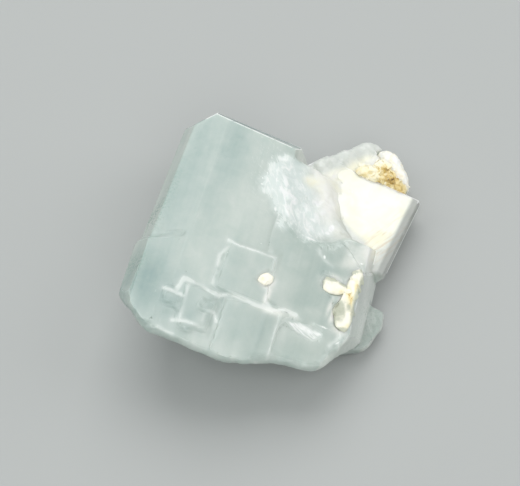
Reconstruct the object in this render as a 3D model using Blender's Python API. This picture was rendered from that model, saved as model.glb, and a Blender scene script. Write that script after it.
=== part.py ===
"""A cluster of intergrown aquamarine (beryl) crystals with mica and feldspar, lying on its side.

Everything is shaped in millimetres in the frame of the main crystal and only then laid on the floor:
L runs across its wide prism face, C along its prism axis towards the finished ends, and N out of the
wide face, which is the plane N = 0. The crystals grew together, so they are one solid. Mica and feldspar
are other minerals, so each grain of them is a solid of its own, set in a socket with a hairline gap.
"""

import math
from collections import namedtuple

import bmesh
import bpy
from mathutils import Matrix, Vector, noise

MM = 0.001
GAP = 0.3
BLOCK = 120.0
MERGE = 0.012
SIDEWAYS = 1.3

# A ragged solid: its outline (L, C), its rows from foot to top as (scale, N), the points along the
# outline, and the size, spacing and seed of its roughness
Lump = namedtuple("Lump", "outline rows points rough grain seed")

# Three places in the noise, far enough apart to shift a point along each axis by its own amount
NOISE_APART = (Vector((0.0, 0.0, 0.0)), Vector((31.4, 7.7, 12.9)), Vector((5.3, 43.1, 27.2)))

# How the cluster lies: rolled about the prism axis, its wide face this high, and centred on the origin
ROLL_DEG = 14.0
FACE_HEIGHT = 14.0
CENTRE = (1.6487, 0.2776)

# A crystal face is (turn about the prism axis, tilt towards the finished end, a place on the face).
# The six prism faces of beryl are 60 degrees apart in turn, with next to no tilt.
MAIN_FACES = (
    (0, 0, (0.0, 0.0, 0.0)),
    (-7.9, 0, (-11.8, 0.0, 0.0)),
    (-68, 1.1, (-17.0, 15.5, -0.72)),
    (-128, 0.9, (-18.5, 15.5, -4.4)),
    (60, 0, (0.8, 0.0, 0.0)),
    (120, 0, (5.0, 0.0, -7.3)),
    (180, 0, (0.0, 0.0, -20.0)),
    (0, 90, (0.0, 19.0, 0.0)),
    (5.5, 44.9, (-13.6, 17.6, 0.0)),
    (-58.8, 33.1, (-13.86, 19.0, -1.16)),
    (60, 40, (3.9, 18.1, -5.3)),
    (0, -90, (0.0, -36.0, 0.0)),
)

# A later layer of growth that thickens the left side of the lower half
LAYER_FACES = (
    (0, 0, (0.0, 0.0, -0.05)),
    (-7.9, 0, (-11.8, 0.0, 0.12)),
    (-66, -1.8, (-17.8, -9.5, -0.75)),
    (-128, -1.6, (-19.65, -9.5, -4.9)),
    (90, 0, (-8.0, 0.0, 0.0)),
    (180, 0, (0.0, 0.0, -20.0)),
    (-50.4, 51.9, (-14.7, -8.4, -0.4)),
    (-79.6, 22.9, (-19.0, -8.3, -4.4)),
    (0, -90, (0.0, -36.0, 0.0)),
)

# The side crystal, parallel to the main one, widens the lower half and ends in broken slopes
SIDE_RIDGE = (17.6, 0.0, -0.04)
SIDE_FACES = (
    (0, 0, SIDE_RIDGE),
    (60, 0, SIDE_RIDGE),
    (120, 0, (21.3, 0.0, -6.4)),
    (180, 0, (0.0, 0.0, -20.0)),
    (-90, 0, (-6.0, 0.0, 0.0)),
    (3, 35, (7.9, 15.3, -5.0)),
    (36, 29, (14.4, 5.9, -4.3)),
    (0, 90, (0.0, 17.0, 0.0)),
    (0, -90, (0.0, -36.0, 0.0)),
)

# The broken slope of the side crystal above the hollow, which looks towards the cloudy crystal
SLOPE_FACES = (
    (0, 0, (0.0, 0.0, -0.08)),
    (38, 14, (11.7, 11.3, -4.7)),
    (15, 60, (3.6, 15.2, -2.2)),
    (180, 0, (0.0, 0.0, -20.0)),
    (-90, 0, (-5.0, 0.0, 0.0)),
    (0, 90, (0.0, 17.0, 0.0)),
    (0, -90, (0.0, 0.5, 0.0)),
)

# A narrow crystal along the side crystal's right edge, which reaches a little further up
SHOULDER_FACES = (
    (0, 0, (17.6, 0.0, -0.16)),
    (60, 0, (17.5, 0.0, -0.04)),
    (118, 0, (20.9, 0.0, -6.2)),
    (180, 0, (0.0, 0.0, -16.0)),
    (-90, 0, (12.5, 0.0, 0.0)),
    (8, 58, (16.0, 4.6, -4.0)),
    (0, -90, (0.0, -9.0, 0.0)),
)

# The cloudy crystal leans to the right and lies flatter than the others; its own origin is the
# top right corner of its upper face
CLOUDY_CORNER = (24.6, 16.8, -2.9)
CLOUDY_LEAN_DEG = 11.0
CLOUDY_ROLL_DEG = -6.4
CLOUDY_FACES = (
    (0, 0, (0.0, 0.0, 0.0)),
    (60, 0, (0.0, 0.0, 0.0)),
    (118, 0, (0.5, 0.0, -0.9)),
    (180, 0, (0.0, 0.0, -16.0)),
    (-90, 0, (-24.0, 0.0, 0.0)),
    (-90, 30, (-19.6, -1.6, 0.0)),
    (0, 90, (0.0, 0.0, 0.0)),
    (20, -78, (0.0, -17.7, 0.0)),
)

# Low growth plates on the wide face: corners (L, C) and how far the plate stands up
PLATES = (
    (((-5.6, -15.2), (3.2, -15.6), (2.9, -6.2), (-5.4, -6.1)), 0.26),
    (((-9.0, -24.4), (-4.4, -23.0), (-4.3, -16.3), (-8.8, -15.9), (-10.3, -15.5)), 0.22),
    (((-3.1, -30.0), (6.2, -30.0), (6.1, -15.4), (3.6, -15.2), (-2.9, -15.9)), 0.18),
    (((2.2, -17.0), (7.6, -16.8), (8.0, -15.2), (2.4, -15.0)), 0.12),
    (((-12.9, -20.4), (-9.4, -20.9), (-9.6, -18.6), (-12.9, -18.1)), 0.15),
    (((-7.1, -20.3), (-4.2, -19.8), (-3.6, -18.2), (-6.3, -17.6)), 0.34),
)
PLATE_ROOT = -1.6

# The rim of the broken lower end, left to right, and the outline of the break above and below the rim
BREAK_RIM = (
    (-22.0, -15.0, -9.5),
    (-19.2, -19.4, -5.4),
    (-18.3, -21.1, -3.6),
    (-17.0, -22.9, -1.8),
    (-15.3, -24.7, -1.4),
    (-13.6, -25.9, -1.2),
    (-12.7, -26.2, -1.2),
    (-8.1, -26.3, -1.1),
    (-5.3, -26.6, -1.0),
    (-1.4, -27.0, -0.9),
    (2.2, -26.4, -0.8),
    (4.7, -25.6, -0.8),
    (6.2, -24.7, -0.8),
    (7.7, -24.2, -0.8),
    (12.0, -23.8, -0.8),
    (14.3, -23.1, -0.9),
    (15.9, -20.5, -1.4),
    (17.7, -17.6, -3.0),
    (20.5, -13.5, -6.4),
    (25.0, -11.0, -8.5),
)
BREAK_PROFILE = (
    (6.0, 8.4),
    (3.4, 4.8),
    (1.5, 2.2),
    (0.6, 1.0),
    (0.0, 0.0),
    (0.6, -0.8),
    (2.1, -2.7),
    (4.2, -5.3),
    (6.2, -7.6),
    (8.4, -9.8),
    (12.0, -14.5),
)
BREAK_STATIONS = 44
BREAK_FAR = -60.0
BREAK_FOOT = -28.0

# Roughness of the break: spacing, size and place in the noise, of long ripples and of small chips
LONG_RIPPLE = (5.5, 1.3, Vector((3.3, 0.0, 8.1)))
RIPPLE_FULL_DEPTH = 4.0
SMALL_CHIP = (1.7, 0.25, Vector((0.0, 5.2, 1.4)))

# Ragged spur behind the cloudy crystal
SPUR = Lump(
    (
        (4.6, 18.6),
        (7.4, 21.4),
        (10.4, 23.8),
        (11.8, 25.8),
        (13.5, 27.3),
        (15.9, 27.8),
        (17.0, 25.8),
        (20.0, 23.8),
        (22.4, 19.4),
        (19.5, 13.5),
        (9.0, 13.5),
    ),
    (
        (0.6, -16.0),
        (0.76, -12.0),
        (0.9, -8.5),
        (0.98, -6.2),
        (1.0, -5.2),
        (0.96, -4.5),
        (0.8, -4.3),
        (0.45, -4.6),
    ),
    44, 0.55, 2.0, 14,
)

# Small plate crystal at the lower right
SMALL_PLATE = Lump(
    (
        (13.0, -4.4),
        (21.1, -5.2),
        (23.9, -5.9),
        (24.0, -8.5),
        (22.5, -12.7),
        (21.7, -13.8),
        (19.7, -14.7),
        (17.8, -15.7),
        (13.0, -15.5),
    ),
    ((0.62, -13.0), (0.86, -9.0), (1.0, -6.7), (0.99, -6.0), (0.96, -5.6)),
    26, 0.12, 1.6, 13,
)

# Pits: a lens-shaped gouge in the wide face and the shattered hollow where it meets the cloudy crystal
GOUGE = Lump(
    ((7.2, -16.6), (9.4, -16.3), (12.0, -16.5), (13.6, -17.0), (12.2, -18.8), (9.8, -18.4)),
    ((0.35, -0.62), (0.75, -0.4), (1.0, 0.0), (1.25, 0.9)),
    20, 0.08, 1.0, 12,
)
HOLLOW_CENTRE = (5.0, 8.0, -1.0)
HOLLOW_SLOPE_DEG = 16.0
HOLLOW_TOWARDS_DEG = 20.0
HOLLOW = Lump(
    (
        (-5.9, 1.2),
        (-5.5, 5.0),
        (-2.8, 6.4),
        (0.0, 6.9),
        (5.4, 6.2),
        (8.5, 1.9),
        (10.2, -2.0),
        (5.9, -7.3),
        (0.7, -9.0),
        (-3.2, -5.9),
    ),
    ((0.15, -0.4), (0.35, -0.25), (0.55, -0.4), (0.75, -0.15), (0.92, -0.1), (1.02, 0.8), (1.1, 7.0)),
    38, 0.45, 2.2, 11,
)

# Grains of the other minerals
CRUST = Lump(
    (
        (12.8, 19.5),
        (13.6, 20.4),
        (15.6, 21.0),
        (16.5, 22.9),
        (17.3, 24.0),
        (18.9, 23.1),
        (20.6, 21.5),
        (22.2, 19.2),
        (21.6, 18.1),
        (19.0, 18.3),
        (16.9, 18.6),
        (15.0, 18.9),
    ),
    ((0.6, -6.2), (0.9, -5.4), (1.0, -4.6), (0.95, -3.8), (0.7, -3.3), (0.35, -3.1)),
    36, 0.35, 1.6, 3,
)
KNOB = Lump(
    (
        (15.9, 25.2),
        (17.0, 26.0),
        (18.2, 25.8),
        (20.3, 24.2),
        (22.0, 21.3),
        (22.7, 19.0),
        (21.0, 18.8),
        (18.0, 21.0),
    ),
    ((0.5, -8.0), (0.85, -7.0), (1.0, -5.6), (0.96, -4.2), (0.74, -3.3), (0.4, -2.9)),
    30, 0.25, 2.2, 5,
)
SEAM = Lump(
    (
        (16.9, -3.0),
        (17.3, -4.4),
        (16.9, -7.2),
        (16.7, -10.0),
        (17.0, -12.8),
        (16.4, -15.0),
        (15.3, -14.2),
        (14.5, -11.6),
        (15.4, -9.4),
        (15.9, -6.4),
    ),
    ((0.5, -2.0), (0.85, -1.3), (1.0, -0.4), (0.9, 0.12), (0.5, 0.3)),
    34, 0.12, 1.1, 7,
)
FLAKE = Lump(
    (
        (11.7, -7.3),
        (12.9, -6.9),
        (14.4, -7.3),
        (15.1, -7.7),
        (14.6, -8.4),
        (13.0, -8.6),
        (12.0, -8.2),
    ),
    ((0.5, -1.0), (0.9, -0.6), (1.0, -0.1), (0.85, 0.16), (0.4, 0.24)),
    20, 0.08, 1.0, 8,
)
SPECK = Lump(
    ((1.4, -10.8), (2.2, -10.1), (2.9, -10.4), (2.9, -11.2), (2.0, -11.5)),
    ((0.5, -0.3), (0.9, 0.0), (1.0, 0.4), (0.85, 0.62), (0.4, 0.7)),
    14, 0.05, 0.8, 9,
)
GRAINS = {
    "mica_crust": CRUST,
    "feldspar_knob": KNOB,
    "mica_seam": SEAM,
    "mica_flake": FLAKE,
    "mica_speck": SPECK,
}

# Each material: colour, roughness and how much light passes through
MATERIALS = {
    "milky_beryl": ((0.62, 0.72, 0.72), 0.25, 0.5),
    "golden_mica": ((0.66, 0.54, 0.24), 0.35, 0.0),
    "white_feldspar": ((0.92, 0.9, 0.82), 0.5, 0.0),
    "cream_mica": ((0.86, 0.8, 0.6), 0.4, 0.0),
}
MADE_OF = {
    "aquamarine_crystals": "milky_beryl",
    "mica_crust": "golden_mica",
    "feldspar_knob": "white_feldspar",
    "mica_seam": "cream_mica",
    "mica_flake": "cream_mica",
    "mica_speck": "cream_mica",
}


def facing(turn_deg, tilt_deg):
    """The outward direction of a crystal face."""
    turn = math.radians(turn_deg)
    tilt = math.radians(tilt_deg)
    return Vector((math.sin(turn) * math.cos(tilt), math.sin(tilt), math.cos(turn) * math.cos(tilt)))


def named_object(name, mesh):
    """Turn a bmesh into an object of that name."""
    data = bpy.data.meshes.new(name)
    mesh.to_mesh(data)
    mesh.free()
    thing = bpy.data.objects.new(name, data)
    bpy.context.collection.objects.link(thing)
    return thing


def crystal(name, faces):
    """A convex crystal: a large block cut flat along each face in turn."""
    mesh = bmesh.new()
    bmesh.ops.create_cube(mesh, size=BLOCK)
    for turn, tilt, through in faces:
        everything = mesh.verts[:] + mesh.edges[:] + mesh.faces[:]
        cut = bmesh.ops.bisect_plane(
            mesh, geom=everything, plane_co=through, plane_no=facing(turn, tilt), clear_outer=True
        )
        edges = [item for item in cut["geom_cut"] if isinstance(item, bmesh.types.BMEdge)]
        bmesh.ops.contextual_create(mesh, geom=edges)
    bmesh.ops.recalc_face_normals(mesh, faces=mesh.faces)
    return named_object(name, mesh)


def lofted(name, rings):
    """A closed solid carried through rings of points, all with the same count, with both ends capped."""
    mesh = bmesh.new()
    rows = [[mesh.verts.new(place) for place in ring] for ring in rings]
    count = len(rings[0])
    for row, following in zip(rows, rows[1:]):
        for i in range(count):
            j = (i + 1) % count
            mesh.faces.new((row[i], row[j], following[j], following[i]))
    mesh.faces.new(reversed(rows[0]))
    mesh.faces.new(rows[-1])
    bmesh.ops.triangulate(mesh, faces=mesh.faces)
    bmesh.ops.recalc_face_normals(mesh, faces=mesh.faces)
    return named_object(name, mesh)


def resampled(path, count, closed):
    """Places spaced evenly along a chain of straight runs."""
    path = [Vector(place) for place in path]
    if closed:
        path.append(path[0])
    lengths = [(b - a).length for a, b in zip(path, path[1:])]
    total = sum(lengths)
    places = []
    for i in range(count):
        distance = total * i / (count if closed else count - 1)
        for a, b, length in zip(path, path[1:], lengths):
            if distance <= length + 1e-6:
                places.append(a.lerp(b, distance / length))
                break
            distance -= length
    return places


def lump(name, shape, swell=0.0):
    """A ragged solid: one outline, scaled about its middle and raised row by row, shifted by noise.

    `swell` grows it all round by that many millimetres, which makes the socket that the solid sits in.
    """
    edge = resampled([(across, along, 0.0) for across, along in shape.outline], shape.points, closed=True)
    middle = sum(edge, Vector()) / shape.points
    radius = sum((place - middle).length for place in edge) / shape.points
    grow = 1.0 + SIDEWAYS * swell / radius
    place_in_noise = Vector((9.1, 1.0, 4.7)) * shape.seed
    last = len(shape.rows) - 1
    rings = []
    for index, (scale, height) in enumerate(shape.rows):
        lift = -swell if index == 0 else swell if index == last else 0.0
        ring = []
        for place in edge:
            flat = middle + (place - middle) * scale * grow
            place = Vector((flat.x, flat.y, height + lift))
            shake = [noise.noise(place / shape.grain + place_in_noise + apart) for apart in NOISE_APART]
            ring.append(place + Vector(shake) * shape.rough)
        rings.append(ring)
    return lofted(name, rings)


def ripple(place, kind):
    """How far noise of that spacing, size and place in the noise moves a point."""
    spacing, size, place_in_noise = kind
    return noise.noise(place / spacing + place_in_noise) * size


def break_cutter():
    """The waste beyond the broken lower end: the break's outline carried along the rim, with ripples."""
    rim = resampled(BREAK_RIM, BREAK_STATIONS, closed=False)
    rings = []
    for corner in rim:
        ring = [Vector((corner.x, BREAK_FAR, corner.z + BREAK_PROFILE[0][1]))]
        for inward, out in BREAK_PROFILE:
            place = corner + Vector((0.0, inward, out))
            below_rim = min(1.0, max(0.0, -out) / RIPPLE_FULL_DEPTH)
            shift = ripple(place, LONG_RIPPLE) * below_rim + ripple(place, SMALL_CHIP)
            ring.append(place + Vector((0.0, shift, 0.0)))
        ring.append(Vector((corner.x, ring[-1].y, BREAK_FOOT)))
        ring.append(Vector((corner.x, BREAK_FAR, BREAK_FOOT)))
        rings.append(ring)
    return lofted("break_cutter", rings)


def hollow_cutter():
    """The waste of the shattered hollow: a shallow bowl that slopes down to the cloudy crystal."""
    bowl = lump("hollow", HOLLOW)
    turn = Matrix.Rotation(math.radians(HOLLOW_TOWARDS_DEG), 4, "Z")
    slope = Matrix.Rotation(math.radians(HOLLOW_SLOPE_DEG), 4, "Y")
    bowl.data.transform(Matrix.Translation(HOLLOW_CENTRE) @ turn @ slope @ turn.inverted())
    return bowl


def growth_plate(name, corners, height):
    """A low plate with upright edges, rooted in the wide face."""
    rings = [[Vector((across, along, out)) for across, along in corners] for out in (PLATE_ROOT, height)]
    return lofted(name, rings)


def combine(body, tool, operation):
    """Join the tool to the body or cut it away, and use the tool up."""
    modifier = body.modifiers.new(operation, "BOOLEAN")
    modifier.operation = operation
    modifier.solver = "EXACT"
    modifier.object = tool
    bpy.context.view_layer.update()
    evaluated = body.evaluated_get(bpy.context.evaluated_depsgraph_get())
    data = bpy.data.meshes.new_from_object(evaluated)
    body.modifiers.clear()
    body.data = data
    data.name = body.name
    bpy.data.objects.remove(tool)


def tidied(body):
    """Merge what a cut left closer than a hair, and make every face a triangle."""
    mesh = bmesh.new()
    mesh.from_mesh(body.data)
    bmesh.ops.remove_doubles(mesh, verts=mesh.verts, dist=MERGE)
    bmesh.ops.dissolve_degenerate(mesh, edges=mesh.edges, dist=MERGE)
    bmesh.ops.triangulate(mesh, faces=mesh.faces, quad_method="BEAUTY", ngon_method="BEAUTY")
    mesh.to_mesh(body.data)
    mesh.free()


def laid_down():
    """The transform from the crystal's frame in millimetres to the floor in metres."""
    roll = Matrix.Rotation(math.radians(ROLL_DEG), 4, "Y")
    lift = Matrix.Translation((-CENTRE[0], -CENTRE[1], FACE_HEIGHT))
    return Matrix.Scale(MM, 4) @ lift @ roll


def cloudy_crystal():
    """The leaning crystal at the upper right."""
    body = crystal("cloudy", CLOUDY_FACES)
    lean = Matrix.Rotation(math.radians(-CLOUDY_LEAN_DEG), 4, "Z")
    roll = Matrix.Rotation(math.radians(CLOUDY_ROLL_DEG), 4, "Y")
    body.data.transform(Matrix.Translation(CLOUDY_CORNER) @ lean @ roll)
    return body


def grain_solids(swell=0.0):
    """Every grain of mica and feldspar, or with a swell the sockets that they sit in."""
    return {name: lump(name, shape, swell) for name, shape in GRAINS.items()}


def below_floor():
    """Everything under the floor, in the crystal's own frame."""
    mesh = bmesh.new()
    bmesh.ops.create_cube(mesh, size=BLOCK * MM)
    bmesh.ops.translate(mesh, verts=mesh.verts, vec=(0.0, 0.0, -BLOCK * MM / 2))
    bmesh.ops.transform(mesh, matrix=laid_down().inverted(), verts=mesh.verts)
    return named_object("below_floor", mesh)


def beryl():
    """All the beryl: crystals joined, ends broken, pits and sockets cut, and the rest face cut flat."""
    body = crystal("aquamarine_crystals", MAIN_FACES)
    for faces in (LAYER_FACES, SIDE_FACES, SLOPE_FACES, SHOULDER_FACES):
        combine(body, crystal("crystal", faces), "UNION")
    for corners, height in PLATES:
        combine(body, growth_plate("plate", corners, height), "UNION")
    for waste in (hollow_cutter(), lump("gouge", GOUGE), break_cutter()):
        combine(body, waste, "DIFFERENCE")
    for grown in (lump("small", SMALL_PLATE), cloudy_crystal(), lump("spur", SPUR)):
        combine(body, grown, "UNION")
    for socket in grain_solids(swell=GAP).values():
        combine(body, socket, "DIFFERENCE")
    combine(body, below_floor(), "DIFFERENCE")
    return body


def finish(name, colour, roughness, transmission):
    """A plain material for one mineral."""
    material = bpy.data.materials.new(name)
    material.use_nodes = True
    shader = material.node_tree.nodes["Principled BSDF"]
    shader.inputs["Base Color"].default_value = (*colour, 1.0)
    shader.inputs["Roughness"].default_value = roughness
    shader.inputs["Transmission Weight"].default_value = transmission
    return material


def build():
    """Make the cluster and lay it on the floor."""
    for thing in list(bpy.data.objects):
        bpy.data.objects.remove(thing, do_unlink=True)
    pieces = {"aquamarine_crystals": beryl()} | grain_solids()
    combine(pieces["feldspar_knob"], lump("room_for_crust", CRUST, GAP), "DIFFERENCE")
    finishes = {name: finish(name, *look) for name, look in MATERIALS.items()}
    for name, piece in pieces.items():
        tidied(piece)
        piece.data.transform(laid_down())
        piece.data.materials.clear()
        piece.data.materials.append(finishes[MADE_OF[name]])


build()
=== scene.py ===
# %% [markdown]
# # An aquamarine specimen, dressed over its imported solids
# Aquamarine is beryl: six-sided prisms, here broad, milky and grown into each other. The imported solids
# give every face its true place, so this lesson keeps them as the frame, refines the beryl into a fine
# skin with real relief, grows the mica and feldspar as numpy surfaces, and spends most of its effort on
# how a cloudy crystal takes light. First the frame is loaded.

# %% Load the frame
import itertools
import math

import bpy
import numpy as np
from mathutils import Matrix, Vector


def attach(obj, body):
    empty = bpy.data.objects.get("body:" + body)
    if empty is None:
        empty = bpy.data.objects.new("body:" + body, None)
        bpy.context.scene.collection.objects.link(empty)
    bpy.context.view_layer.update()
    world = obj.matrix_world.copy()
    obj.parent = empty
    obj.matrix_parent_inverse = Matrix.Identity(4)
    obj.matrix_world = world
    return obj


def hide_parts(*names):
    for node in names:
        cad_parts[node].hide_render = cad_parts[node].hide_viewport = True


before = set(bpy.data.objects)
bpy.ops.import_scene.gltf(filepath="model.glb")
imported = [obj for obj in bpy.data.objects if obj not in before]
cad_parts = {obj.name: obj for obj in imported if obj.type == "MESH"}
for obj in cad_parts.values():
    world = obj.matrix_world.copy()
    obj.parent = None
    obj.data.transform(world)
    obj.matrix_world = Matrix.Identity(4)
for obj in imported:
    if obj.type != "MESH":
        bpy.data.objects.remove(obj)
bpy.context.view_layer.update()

print("nodes:", sorted(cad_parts))

# %% [markdown]
# ## The crystal's own frame
# A crystallographer measures along the crystal, not along the table. Every shape and pattern below is
# written in millimetres as (across, along, out): across the wide face, along the prism axis towards the
# finished end, and out of the wide face, which is the plane out = 0. The specimen lies rolled 14 degrees
# about its prism axis. Two functions carry whole arrays of points between that frame and the floor.

# %% From crystal to floor and back
MM = 0.001
ROLL = math.radians(14.0)
ORIGIN = np.array((-1.6487, -0.2776, 14.0))
AXES = np.array(
    ((math.cos(ROLL), 0, -math.sin(ROLL)), (0, 1, 0), (math.sin(ROLL), 0, math.cos(ROLL)))
)


def to_floor(places):
    """Metres on the floor: each crystal coordinate times its axis, added up, moved and scaled."""
    return (places @ AXES + ORIGIN) * MM


def to_crystal(places):
    """The inverse: floor metres moved back and measured along each crystal axis, in millimetres."""
    return (places / MM - ORIGIN) @ AXES.T


def height(places):
    """How far above the floor a crystal place is, in millimetres."""
    return places @ AXES[:, 2] + ORIGIN[2]


print("the wide face's origin stands", round(float(height(np.zeros(3))), 2), "mm above the floor")

# %% [markdown]
# ## Noise as whole arrays
# Growth, breakage and cloudiness are all irregular but smooth. Value noise gives that: a repeatable
# random number at every whole-number place, blended smoothly in between. Octaves of it, each half as
# strong and about twice as fine, give roughness at every size. It runs on all points at once.

# %% Value noise
def hashed(cells, seed):
    """A repeatable number from 0 to 1 for whole-number places: their bits multiplied, shifted and mixed."""
    x, y, z = (cells[:, i].astype(np.uint32) for i in range(3))
    h = (x * np.uint32(0x9E3779B1)) ^ (y * np.uint32(0x85EBCA77)) ^ (z * np.uint32(0xC2B2AE3D))
    h = h ^ np.uint32(seed * 7919 + 13)
    for shift, factor in ((15, 0x2C1B3C6D), (12, 0x297A2D39), (15, 0x85EBCA6B)):
        h = (h ^ (h >> np.uint32(shift))) * np.uint32(factor)
    return (h ^ (h >> np.uint32(14))) / 2.0**32


def noise(places, seed=0):
    """Smooth noise from -1 to 1: corner values of each unit cell, blended by 3t^2 - 2t^3 along each axis."""
    cell = np.floor(places).astype(np.int64)
    part = places - cell
    part = part * part * (3.0 - 2.0 * part)
    total = np.zeros(len(places))
    for corner in itertools.product((0, 1), repeat=3):
        weight = np.where(corner, part, 1.0 - part).prod(axis=1)
        total += weight * hashed(cell + corner, seed)
    return total * 2.0 - 1.0


def layered(places, octaves, seed=0):
    """Noise plus half as much of it 2.1 times as fine, and so on; about -1 to 1."""
    total = sum(noise(places * 2.1**i, seed + i) * 0.5**i for i in range(octaves))
    return total / sum(0.5**i for i in range(octaves)) * 1.4


def ridged(places, octaves, seed=0):
    """Sharp crests: 1 - |layered noise|, from 0 to 1."""
    return 1.0 - np.abs(layered(places, octaves, seed)).clip(0.0, 1.0)


def smooth(low, high, x):
    """0 at low, 1 at high, and an S-curve between them, whichever of the two is larger."""
    t = ((x - low) / (high - low)).clip(0.0, 1.0)
    return t * t * (3.0 - 2.0 * t)


def lengths(rows):
    """The length of each row."""
    return np.linalg.norm(rows, axis=1)


def unit(rows):
    """Each row divided by its length."""
    return rows / np.maximum(lengths(rows), 1e-12)[:, None]


sample = layered(np.random.default_rng(1).uniform(0, 50, (5000, 3)), 4)
print("noise runs from", sample.min().round(2), "to", sample.max().round(2))

# %% [markdown]
# ## Distances to drawn lines
# The ledges, cloudy zones and broken patches of this specimen have places of their own. Each is drawn as
# a few corners on the wide face, and these two functions turn the drawing into a smooth field: how far a
# point is from a chain of straight runs, and how far inside an outline it is.

# %% Distance fields in the plane of the wide face
def distance_to_line(places, line):
    """Distance in (across, along) to the nearest of the line's straight runs."""
    flat = places[:, :2]
    nearest = np.full(len(places), np.inf)
    for a, b in zip(np.array(line[:-1]), np.array(line[1:])):
        run = b - a
        t = ((flat - a) @ run / (run @ run)).clip(0.0, 1.0)
        nearest = np.minimum(nearest, lengths(flat - a - t[:, None] * run))
    return nearest


def inside(places, outline):
    """Distance inside a closed outline, negative outside: parity of crossings gives the sign."""
    corners = np.array(outline)
    flat = places[:, :2]
    within = np.zeros(len(places), bool)
    for (x0, y0), (x1, y1) in zip(corners, np.roll(corners, -1, axis=0)):
        spans = (y0 > flat[:, 1]) != (y1 > flat[:, 1])
        crossing = x0 + (flat[:, 1] - y0) * (x1 - x0) / (y1 - y0 if y1 != y0 else 1e-9)
        within ^= spans & (flat[:, 0] < crossing)
    distance = distance_to_line(places, list(outline) + [outline[0]])
    return np.where(within, distance, -distance)


def blob(places, across, along, wide, long, turn_deg=0, strength=1):
    """A soft hill: strength * exp(-r^2) with its own radius along each of its turned axes."""
    turn = math.radians(turn_deg)
    offset = places[:, :2] - (across, along)
    u = offset @ (math.cos(turn), math.sin(turn)) / wide
    v = offset @ (-math.sin(turn), math.cos(turn)) / long
    return strength * np.exp(-(u * u + v * v))


square = ((-1, -1), (1, -1), (1, 1), (-1, 1))
print("middle of a square is", inside(np.zeros((1, 3)), square)[0], "inside it")

# %% [markdown]
# ## Refining the beryl
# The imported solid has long, thin triangles, which can't carry relief. Sculpting by hand or a remesh
# modifier would round off the crisp crystal edges, so the edges are halved instead: every edge that is
# too long gets a point at its middle, over and over, and each triangle is divided to match. The flat
# faces stay exactly flat and the corners stay exactly where they were.

# %% Weld and split the triangles
def columns(*parts):
    """Rows of numbers stood side by side as columns: three rows of point numbers make triangles."""
    return np.stack(parts, axis=1)


def welded(node):
    """A CAD node's points, in the crystal's frame, and triangles, with all copies of a point made one."""
    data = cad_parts[node].data
    points = np.empty(len(data.vertices) * 3, np.float32)
    data.vertices.foreach_get("co", points)
    corners = np.empty(len(data.loops), np.int32)
    data.loops.foreach_get("vertex_index", corners)
    keys = np.round(points.reshape(-1, 3) * 1e7).astype(np.int64)
    _, first, which = np.unique(keys, axis=0, return_index=True, return_inverse=True)
    triangles = which.reshape(-1)[corners].reshape(-1, 3)
    whole = (triangles != np.roll(triangles, 1, axis=1)).all(axis=1)
    return to_crystal(points.reshape(-1, 3)[first].astype(float)), triangles[whole]


def edges_of(triangles):
    """The distinct edges, and for each triangle which three of them it has."""
    pairs = np.sort(triangles[:, [[0, 1], [1, 2], [2, 0]]].reshape(-1, 2), axis=1)
    edges, which = np.unique(pairs, axis=0, return_inverse=True)
    return edges, which.reshape(-1, 3)


def split_long_edges(points, triangles, longest):
    """Halve each edge longer than longest(its middle) until none is, with one to four triangles for each."""
    while True:
        edges, which = edges_of(triangles)
        a, b = points[edges[:, 0]], points[edges[:, 1]]
        long = lengths(a - b) > longest((a + b) / 2)
        if not long.any():
            return points, triangles
        number = np.full(len(edges), -1)
        number[long] = len(points) + np.arange(long.sum())
        points = np.vstack((points, (a[long] + b[long]) / 2))
        middles = number[which]
        halved = (middles >= 0).sum(axis=1)
        done = [triangles[halved == 0]]
        # one halved edge: turn the triangle until it is the first
        (p, q, r), (pq, _, _) = turned(triangles, middles, halved == 1, 0, split=True)
        done += [columns(p, pq, r), columns(pq, q, r)]
        # two: turn it until the whole edge is the last, then cut the rest along its shorter diagonal
        (p, q, r), (pq, qr, _) = turned(triangles, middles, halved == 2, 2, split=False)
        short = (lengths(points[p] - points[qr]) < lengths(points[r] - points[pq]))[:, None]
        done += [columns(pq, q, qr), np.where(short, columns(p, pq, qr), columns(p, pq, r))]
        done.append(np.where(short, columns(p, qr, r), columns(pq, qr, r)))
        # three: a triangle at each corner and one in the middle
        t, m = triangles[halved == 3], middles[halved == 3]
        done += [columns(t[:, i], m[:, i], m[:, i - 1]) for i in range(3)] + [m]
        triangles = np.vstack(done)


def turned(triangles, middles, chosen, place, split):
    """The chosen triangles and middles as rows, turned until the one halved (or whole) edge is at place."""
    t, m = triangles[chosen], middles[chosen]
    odd = ((m >= 0) == split).argmax(axis=1)
    order = (np.arange(3)[None, :] + (odd - place)[:, None]) % 3
    return np.take_along_axis(t, order, 1).T, np.take_along_axis(m, order, 1).T


def finest(middles):
    """The longest edge allowed: fine on what is seen, coarse on the face that it rests on."""
    return np.where(height(middles) < 0.2, 2.0, 0.46)


coarse_points, coarse_triangles = welded("aquamarine_crystals")
points, triangles = split_long_edges(coarse_points, coarse_triangles, finest)
print("beryl:", len(coarse_triangles), "triangles refined to", len(triangles))

# %% [markdown]
# ## Which faces grew and which broke
# A crystal face that grew is flat and smooth, with faint lines along the prism. A surface that broke is
# curved and rough, because beryl has almost no cleavage. The two are told apart by direction: a growth
# face looks along one of a few exact directions, and everything else is a break.

# %% Directions of the growth faces
def facing(turn_deg, tilt_deg):
    """The direction of a crystal face, from its turn about the prism axis and its tilt towards the end."""
    turn, tilt = math.radians(turn_deg), math.radians(tilt_deg)
    return (math.sin(turn) * math.cos(tilt), math.sin(tilt), math.cos(turn) * math.cos(tilt))


def face_normals(points, triangles):
    """Unit directions and areas of the triangles, from the cross product of two edges."""
    a, b, c = (points[triangles[:, i]] for i in range(3))
    cross = np.cross(b - a, c - a)
    return unit(cross), lengths(cross) / 2


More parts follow.
